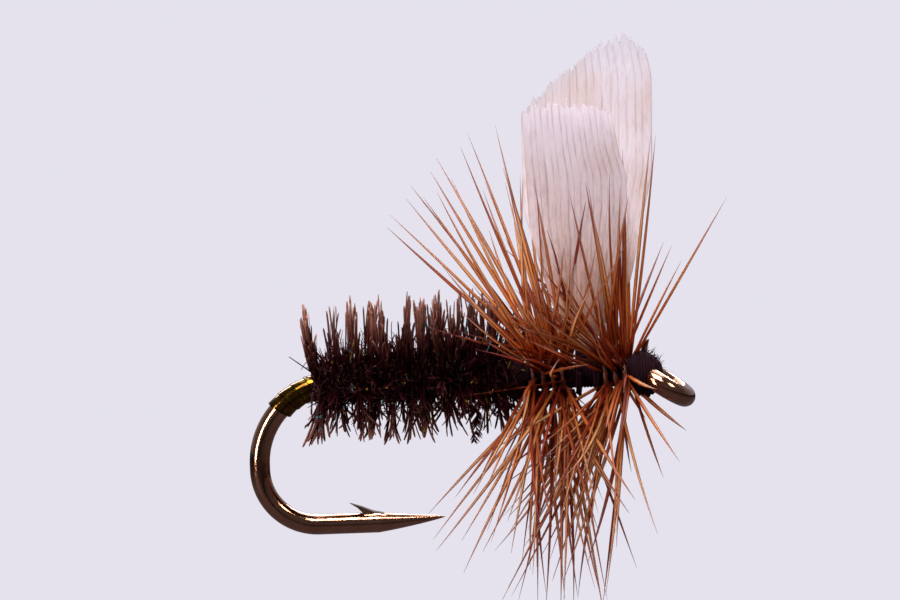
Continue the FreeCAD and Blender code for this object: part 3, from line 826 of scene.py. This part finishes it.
def make_herl_ends():
    """The herls' cut ends, bound along the shank in front of the body."""
    wide, thick = QUILL_RADIUS * 0.8, QUILL_RADIUS * 0.6
    reach = BASE_RADIUS + QUILL_RADIUS * 0.9
    ends = along_shank("herl_cut_ends", "herl_trimmed_ends", [-26, -8, 10, 27], 8, reach, wide, thick, hue=0)
    place_piece(ends, "herl_quill", "herl_trimmed_ends")


# ---------------------------------------------------------------- thread


def make_thread_coil(name, node, layers=1, pitch=0.075):
    """Tying thread in place of a CAD coil: the same length and radius, twisted, in crossing layers."""
    low, high = box_mm(node)
    rear, front = low[0] + THREAD / 2, high[0] - THREAD / 2
    radius = (high[2] - low[2]) / 2 - THREAD / 2
    coils = []
    for layer in range(layers):
        ends = (rear, front) if layer % 2 == 0 else (front, rear)
        step = pitch if layer % 2 == 0 else -pitch
        points, outward = coil(*ends, step, radius + layer * THREAD * 0.45, layer * 1.3)
        coils.append(rope(name, points, outward, THREAD / 2))
    piece = join(name, coils) if layers > 1 else coils[0]
    place_piece(piece, "black_thread", node)


def head_radius(x):
    """The head's profile from behind the hackle to the eye."""
    places = np.array([0.0, 0.14, 0.4, 0.6, 0.76, 0.88, 1.0]) * HEAD_LENGTH + HEAD_REAR
    return np.interp(x, places, [0.42, 0.52, 0.58, 0.57, 0.5, 0.4, 0.25])


def head_droop(x):
    """How far the head's middle line has sunk below the shank's, as the wire turns down to the eye."""
    return 0.1 * (x - HEAD_REAR)


def make_head():
    """The thread head: a core under packed, crossing wraps."""
    front = HEAD_REAR + HEAD_LENGTH
    x = np.linspace(HEAD_REAR, front, 30)
    core_line = in_hook_plane(x, SHANK_Z - head_droop(x))
    sideways = np.tile([0.0, 1.0, 0.0], (30, 1))
    core = rope("core", core_line, sideways, head_radius(x) - 0.05, depth=0.0, sides=32)
    pieces = [core]
    for layer, pitch in enumerate((0.07, -0.11, 0.083)):
        ends = (HEAD_REAR, front) if pitch > 0 else (front, HEAD_REAR)
        points, outward = coil(*ends, pitch, lambda at: head_radius(at) - 0.03 + 0.012 * layer, layer)
        points[:, 2] -= head_droop(points[:, 0])
        pieces.append(rope("wrap", points, outward, THREAD / 2))
    head = join("thread_head_wraps", pieces)
    place_piece(head, "black_thread", "thread_head")


def make_fuzz(count):
    """Fine broken filaments that stand off the head."""
    at = random.uniform(HEAD_REAR + 0.1, HEAD_REAR + HEAD_LENGTH, count)
    turn = random.normal(0.2, 1.3, count)
    roots = around_shank(at, head_radius(at), turn)
    outward = outward_from_shank(turn) + np.array([0.5, 0, 0])
    share = np.linspace(0, 1, 5)
    bend = random.normal(0, 0.6, (count, 1, 3)) * share[None, :, None] ** 2
    away = unit(outward + random.normal(0, 0.5, (count, 3)))[:, None] * share[None, :, None]
    centres = roots[:, None] + (away + bend * 0.6) * (0.2 * random.uniform(0.3, 1, count))[:, None, None]
    taper = 0.009 * (1.1 - share)
    hairs = strands("head_fuzz", centres, taper, taper, random.normal(0, 1, (count, 3)), sides=4)
    place_piece(hairs, "black_thread")


def make_whip_finish():
    """The last turns of thread, which lie over the head and lock it."""
    low, high = box_mm("whip_finish")
    points, outward = coil(low[0] + 0.05, high[0] - 0.02, 0.082, lambda at: head_radius(at) + 0.03, 2.0)
    points[:, 2] -= head_droop(points[:, 0])
    whip = rope("whip_finish_turns", points, outward, THREAD / 2)
    place_piece(whip, "black_thread", "whip_finish")


def make_threads():
    """The thread wound round the shank, and the turns round the wings' roots."""
    make_thread_coil("thread_base_wraps", "thread_base", 1, 0.086)
    make_thread_coil("herl_tie_off_wraps", "herl_tie_off_thread", 2)
    make_thread_coil("wing_rear_wraps", "wing_rear_thread", 2)
    make_thread_coil("wing_front_wraps", "wing_front_thread", 2)
    low, high = box_mm("wing_post_thread")
    centre = (low + high) / 2
    radius = (high[0] - low[0]) / 2 - THREAD / 2
    turn = np.linspace(0, FULL_TURN * 4, 160)
    height = np.linspace(low[2] + THREAD / 2, high[2] - THREAD / 2, 160)
    outward = np.stack([np.cos(turn), np.sin(turn), 0 * turn], axis=1)
    points = [centre[0], centre[1], 0] + radius * outward + height[:, None] * [0, 0, 1]
    post = rope("wing_post_wraps", points, outward, THREAD / 2)
    place_piece(post, "black_thread", "wing_post_thread")


# ---------------------------------------------------------------- hackle


def hackle_group(place, count, middle, spread, leans, order, scatter, length):
    """Barbs of one hackle on one side of the shank.

    middle and spread are degrees round the shank. leans are degrees at the hackle's rear and front, and
    order says how closely a barb's lean follows its place: 1 fully, 0 not at all.
    """
    rear, front = HACKLES[place]
    share = random.uniform(0, 1, count)
    x = rear + (front - rear) * share + random.normal(0, 0.07, count)
    turn = np.radians(random.uniform(middle - spread, middle + spread, count))
    chosen = order * share + (1 - order) * random.uniform(0, 1, count)
    lean = (leans[0] + (leans[1] - leans[0]) * chosen) * np.abs(np.cos(turn)) ** 0.6
    lean = lean + random.normal(0, scatter, count)
    return np.stack([x, turn, np.radians(lean), length * random.normal(1, 0.07, count)], axis=1)


def barbs_from(name, x, turn, lean, length, bend, hue):
    """Curved hackle barbs. lean is from square to the shank, towards the eye, in radians."""
    count = len(x)
    share = np.linspace(0, 1, 14)[None]
    outward = outward_from_shank(turn)
    forward = np.array([1.0, 0, 0])
    aim = outward * np.cos(lean)[:, None] + forward * np.sin(lean)[:, None]
    square = outward * -np.sin(lean)[:, None] + forward * np.cos(lean)[:, None]
    aside = np.cross(aim, square)
    roots = around_shank(x, BASE_RADIUS + HACKLE_STEM, turn)
    run = (share * length[:, None])[..., None]
    curve = (share**2 * length[:, None])[..., None]
    sway = (share**2.2 * length[:, None])[..., None]
    centres = roots[:, None] + aim[:, None] * run + square[:, None] * curve * bend[:, :1, None]
    centres = centres + aside[:, None] * sway * bend[:, 1:, None]
    size = random.uniform(0.8, 1.15, (count, 1))
    profile = np.interp(share, [0, 0.3, 0.55, 0.75, 0.9, 1], [0.048, 0.056, 0.05, 0.034, 0.015, 0.004])
    wide = size * profile
    facing = unit(aside + 0.8 * square * random.normal(0, 1, (count, 1)))
    return strands(name, centres, wide, wide * 0.55, facing, sides=8, hue=hue)


def make_hackle(place, groups, strays):
    """One hackle: groups of random barbs, then a few barbs that stray, then the wound quill."""
    rows = np.concatenate([hackle_group(place, *group) for group in groups])
    count = len(rows)
    hue = random.choice([0.04, 0.35, 0.85], count, p=[0.28, 0.36, 0.36])
    hue = np.clip(hue + random.normal(0, 0.1, count), 0, 1)
    bend = random.normal(0, 0.05, (count, 2)) * np.where(random.uniform(0, 1, (count, 1)) < 0.15, 2.2, 1)
    strays = np.insert(np.array(strays, float), 5, 0.0, axis=1)
    strays[:, 1:3] = np.radians(strays[:, 1:3])
    rows = np.concatenate([np.column_stack([rows, bend, hue]), strays])
    root, turn, lean, long = rows[:, :4].T
    bend, hue = rows[:, 4:6], rows[:, 6]
    barbs = barbs_from(f"{place}_hackle_fan", root, turn, lean, long, bend, hue)
    place_piece(barbs, "hackle_barb", f"{place}_hackle_barbs")

    rear, front = HACKLES[place]
    points, outward = coil(rear, front, 0.27, BASE_RADIUS + HACKLE_STEM)
    stem = rope(f"{place}_hackle_quill", points, outward, HACKLE_STEM, lobes=2, depth=0.12, sides=10)
    place_piece(stem, "hackle_stem", f"{place}_hackle_stem")


def make_hackles():
    """The hackle behind the wings and the one in front of them, both thickest above and below."""
    # Groups: count, middle turn, turn spread, leans at the rear and front, order, scatter, length.
    # Strays: place along the shank, turn from the top, lean, length, bend, hue.
    rear_fan = []
    for step in range(9):
        side = -1 if step % 2 else 1
        hue = (0.1, 0.5, 0.85)[step % 3]
        rear_fan.append((-3.5 + 0.06 * step, 5 * side, -47 + 4.2 * step, 5.6 + 0.15 * step, 0.02 * side, hue))
    make_hackle(
        "rear",
        [
            (10, 0, 26, (-34, -2), 0.9, 2, 5.4),
            (12, 0, 26, (-20, 12), 0.3, 4, 5.0),
            (17, 180, 26, (-12, 15), 0.3, 5, 5.8),
            (7, 180, 20, (-30, 14), 0.4, 5, 4.6),
            (30, 90, 56, (-34, 26), 0.3, 9, 5.0),
            (12, 46, 14, (-66, 20), 0.3, 6, 4.2),
            (10, 130, 18, (-50, 26), 0.3, 8, 3.8),
            (24, -90, 58, (-34, 20), 0.4, 9, 5.4),
        ],
        [
            (-3.3, 178, -48, 4.7, 0.04, 0.8),
            (-3.2, 172, -42, 5.2, 0.03, 0.7),
            (-3.0, 188, -36, 5.7, -0.03, 0.9),
            (-3.1, 176, -30, 5.6, 0.03, 0.6),
            (-2.7, 48, -62, 4.4, 0.03, 0.1),
            (-2.3, 52, -58, 4.2, 0.02, 0.05),
            (-2.6, 100, -68, 3.2, -0.05, 0.1),
            (-2.75, 6, 12, 5.0, 0.12, 0.2),
            *rear_fan,
        ],
    )
    make_hackle(
        "front",
        [
            (19, 0, 26, (-16, 11), 0.5, 3, 5.4),
            (16, 180, 30, (-36, -5), 0.35, 4, 5.7),
            (7, 180, 14, (-48, -30), 0.4, 4, 4.4),
            (30, 90, 56, (-38, 0), 0.4, 8, 4.7),
            (12, 46, 14, (-74, -20), 0.3, 6, 4.0),
            (12, 130, 18, (-72, -10), 0.3, 8, 3.8),
            (24, -90, 58, (-26, 6), 0.4, 8, 5.2),
        ],
        [
            (-0.86, 12, 30, 5.3, 0.0, 0.9),
            (-0.95, 5, 9, 6.3, -0.02, 0.5),
            (-1.0, -5, 7, 6.1, 0.01, 0.9),
            (-0.9, 10, 26, 3.1, 0.02, 0.3),
            (-0.9, 168, 14, 2.6, 0.04, 0.3),
            (-0.86, 150, 42, 1.9, 0.06, 0.2),
        ],
    )


def make_hackle_ends():
    """The feathers' cut butts under the shank, and a clipped tip on top of the head."""
    reach = BASE_RADIUS + HACKLE_STEM
    butts = along_shank(
        "hackle_cut_butts", "hackle_butts", [158, 202], 7, reach, HACKLE_STEM, HACKLE_STEM * 0.8, hue=0
    )
    place_piece(butts, "hackle_stem", "hackle_butts")

    low, high = box_mm("hackle_tip_stub")
    count = 5
    share = np.linspace(0, 1, 6)[None, :, None]
    foot = np.array([low[0] + 0.06, (low[1] + high[1]) / 2, low[2] - 0.08])
    top = np.array([high[0] - 0.05, (low[1] + high[1]) / 2, high[2]])
    spread = random.normal(0, 1, (count, 1, 3)) * np.array([0.035, 0.035, 0.02])
    lines = foot + (top - foot) * share + spread
    stub = strands("hackle_clipped_tip", lines, 0.032, 0.026, [0, 1, 0], hue=0)
    place_piece(stub, "hackle_stem", "hackle_tip_stub")


# ---------------------------------------------------------------- wings


def make_wing(name, node, side, rear_edge, front_edge, top_edge, barb_count):
    """One quill slip: a thin sheet of zipped barbs, ridged along each barb, with a soft, notched tip.

    The edges are in the slip's own plane: rear_edge and front_edge give x at each height, and top_edge
    gives the height where a barb ends, from the rear edge to the front edge.
    """
    steps, columns_per_barb = 40, 10
    columns = barb_count * columns_per_barb + 1
    across = np.linspace(0, 1, columns)
    barb = np.minimum(np.arange(columns) // columns_per_barb, barb_count - 1)
    offset = 2 * (across * barb_count - barb) - 1
    share = 1 - (1 - np.linspace(0, 1, steps)) ** 1.3
    rear_x, rear_z = zip(*rear_edge)
    front_x, front_z = zip(*front_edge)
    across_share, ends = zip(*top_edge)
    jitter = random.normal(0, 0.06, barb_count)
    notch = random.uniform(0.03, 0.13, barb_count)
    split = np.maximum(np.abs(offset) - 0.4, 0) / 0.6
    tall = np.interp(across, across_share, ends) + jitter[barb] * (1 - split) - notch[barb] * split**2
    tall = tall + random.normal(0, 0.05, columns)
    height = share[:, None] * tall[None]
    low = np.interp(height, rear_z, rear_x)
    high = np.interp(height, front_z, front_x)
    wander = 0.02 * np.sin(across * 37 + 1.3 * side) * np.clip(height / 2.5, 0, 1)
    x = low + (high - low) * across + wander
    ridge = 0.014 * (1 - offset**2)[None] * np.clip(height / 1.5, 0.2, 1)
    cup = 0.3 * side * (across[None] - 0.45) ** 2 * height / 7
    wave = 0.03 * np.sin(5 * across[None] + 0.9 * height)
    middle_y = cup + wave
    surfaces = (ridge + 0.006, -0.006 - 0.5 * ridge)
    sheet = [np.stack([x, middle_y + y, height], axis=-1) for y in surfaces]
    ring = np.concatenate([sheet[0], sheet[1][:, ::-1]], axis=1)
    lean = np.array([
        [1, 0, 0],
        [0, math.cos(WING_LEAN), side * math.sin(WING_LEAN)],
        [0, -side * math.sin(WING_LEAN), math.cos(WING_LEAN)],
    ])
    ring = ring @ lean.T + WING_ROOT + np.array([0, side * 0.1, 0])

    total = 2 * columns
    index = np.arange(steps * total).reshape(steps, total)
    column = np.arange(columns - 1)
    edge = np.stack([column, column + 1, total - 2 - column, total - 1 - column], axis=1)
    caps = np.concatenate([edge[:, ::-1], edge + (steps - 1) * total])
    both = np.concatenate([np.arange(columns), np.arange(columns)[::-1]])
    layers = {
        "along": np.clip(height / 7, 0, 1)[:, both],
        "round": np.broadcast_to((1 - offset**2)[both], index.shape),
        "tip": np.broadcast_to(share[:, None], index.shape),
    }
    slip = make_object(name, ring, tube_quads(index), caps, layers)
    place_piece(slip, "white_quill", node)


def make_wings():
    """The short wing on the near side, the taller one on the far side, and their cut butts."""
    make_wing(
        "wing_near",
        "wing_right",
        -1,
        [(-0.14, 0), (-0.16, 0.42), (-0.95, 1.7), (-1.5, 4.2), (-1.6, 7.4)],
        [(0.14, 0), (0.16, 0.42), (0.75, 2.4), (1.2, 4.5), (1.2, 5.4), (1.0, 6.1), (0.85, 7.2)],
        [(0, 7.2), (0.3, 7.42), (0.8, 7.42), (1, 7.15)],
        15,
    )
    make_wing(
        "wing_far",
        "wing_left",
        1,
        [(-0.14, 0), (-0.16, 0.42), (-1.05, 1.9), (-1.65, 4.2), (-1.62, 6.9), (-1.55, 9.0)],
        [(0.14, 0), (0.16, 0.42), (1.25, 2.2), (1.95, 5.2), (2.02, 7.8), (1.8, 9.0)],
        [(0, 6.9), (0.3, 7.9), (0.6, 8.6), (0.85, 8.95), (1, 8.5)],
        16,
    )
    degrees = [-32, -20, -8, 8, 20, 32]
    butts = along_shank("wing_cut_butts", "wing_butts", degrees, 6, BASE_RADIUS + 0.04, 0.04, 0.03, tip=0)
    place_piece(butts, "white_quill", "wing_butts")


# ---------------------------------------------------------------- floor, light and camera

BACKGROUND = srgb(229, 226, 237)
FLOOR_DROP = 22
LIT_POINT = Vector((-5.0, 0, 1.0))
SEEN_POINT = Vector((-5.867, 0, 2.566))


def make_floor():
    """A pale floor that is lit near the fly and fades to the plain backdrop colour further off."""
    bpy.ops.mesh.primitive_circle_add(vertices=96, radius=0.7, fill_type="NGON")
    floor = bpy.context.object
    floor.name = "floor"
    floor.location = (-5.5 * MM, 0, (hook_low[2] - FLOOR_DROP) * MM)
    shader = Shader("pale_floor")
    camera_ray = shader.add("ShaderNodeLightPath").outputs["Is Camera Ray"]
    colour = shader.mix(camera_ray, srgb(60, 56, 60), srgb(150, 148, 156))
    shader.set(base_color=colour, roughness=0.9, specular_ior_level=0.1)
    where = shader.add("ShaderNodeTexCoord").outputs["Object"]
    distance = shader.add("ShaderNodeVectorMath", {0: where}, operation="LENGTH").outputs["Value"]
    reach = {"Value": distance, "From Min": 0.02, "From Max": 0.09}
    fade = shader.add("ShaderNodeMapRange", reach, interpolation_type="SMOOTHSTEP").outputs["Result"]
    seen = shader.math("MULTIPLY", fade, camera_ray)
    glow = shader.add("ShaderNodeEmission", {"Color": BACKGROUND, "Strength": 1.0})
    shader.blend_in(seen, glow)
    floor.data.materials.append(shader.material)


def make_world():
    """The backdrop colour for the camera, and a softer, darker room for light and reflections."""
    world = bpy.data.worlds.new("studio")
    bpy.context.scene.world = world
    studio = Nodes(world)
    direction = studio.add("ShaderNodeTexCoord").outputs["Generated"]
    away = studio.add("ShaderNodeSeparateXYZ", {0: direction}).outputs["Y"]
    span = {"Value": away, "From Min": -0.3, "From Max": 1.0, "To Min": 0.13, "To Max": 0.4}
    strength = studio.add("ShaderNodeMapRange", span, interpolation_type="SMOOTHSTEP").outputs["Result"]
    room = studio.add("ShaderNodeBackground", {"Color": BACKGROUND, "Strength": strength})
    backdrop = studio.add("ShaderNodeBackground", {"Color": BACKGROUND, "Strength": 1.0})
    camera_ray = studio.add("ShaderNodeLightPath").outputs["Is Camera Ray"]
    both = {"Fac": camera_ray, 1: room.outputs[0], 2: backdrop.outputs[0]}
    shown = studio.add("ShaderNodeMixShader", both)
    studio.feed(studio.tree.nodes["World Output"].inputs["Surface"], shown.outputs[0])


def aim(thing, target, azimuth, elevation, distance, roll=0.0):
    """Put a light or camera round a point, facing it. Azimuth 0 is the near side, +90 the eye's end."""
    turn, rise = math.radians(azimuth), math.radians(elevation)
    back = Vector((math.sin(turn) * math.cos(rise), -math.cos(turn) * math.cos(rise), math.sin(rise)))
    facing = (-back).to_track_quat("-Z", "Y").to_matrix() @ Matrix.Rotation(math.radians(roll), 3, "Z")
    thing.matrix_world = Matrix.Translation((target + back * distance) * MM) @ facing.to_4x4()


def add_light(name, azimuth, elevation, distance, wide, tall, radiance, colour):
    """A soft panel that faces the fly. radiance is how bright it looks, so its power follows its size."""
    lamp = bpy.data.lights.new(name, "AREA")
    lamp.shape = "RECTANGLE"
    lamp.size = wide * MM
    lamp.size_y = tall * MM
    lamp.energy = radiance * math.pi * lamp.size * lamp.size_y
    lamp.color = colour
    light = link_object(name, lamp)
    light.visible_camera = False
    aim(light, LIT_POINT, azimuth, elevation, distance)


def make_lights():
    """Panels above, at both sides and behind, which draw long bright lines on the wire."""
    add_light("key_overhead", -15, 70, 90, 56, 56, 15.5, (1, 0.98, 0.95))
    add_light("strip_left", -50, 14, 140, 32, 105, 23, (1, 0.96, 0.92))
    add_light("spark_right", 56, 38, 120, 30, 30, 16, (1, 0.88, 0.66))
    add_light("rim_behind", 180, 34, 130, 150, 34, 14, (1, 0.98, 0.98))
    add_light("sweep_behind", 178, 62, 130, 120, 80, 3.0, (1, 0.98, 0.97))


def make_camera():
    """The camera looks along +Y from a little above, rolled so that the shank rises to the right."""
    frame_width = 24.75
    distance = 200
    camera_data = bpy.data.cameras.new("camera")
    camera_data.sensor_width = 36
    camera_data.lens = camera_data.sensor_width * distance / frame_width
    camera_data.clip_start = 0.005
    camera_data.clip_end = 2
    camera = link_object("camera", camera_data)
    aim(camera, SEEN_POINT, 0, 8, distance, roll=-2.03)
    bpy.context.scene.camera = camera


make_hook()
make_tinsel()
make_herl()
make_stiff_fibre()
make_loose_tip()
make_herl_ends()
make_wings()
make_threads()
make_head()
make_fuzz(190)
make_whip_finish()
make_hackles()
make_hackle_ends()
make_floor()
make_world()
make_lights()
make_camera()

scene = bpy.context.scene
scene.view_settings.view_transform = "Standard"
scene.cycles.transparent_max_bounces = 128
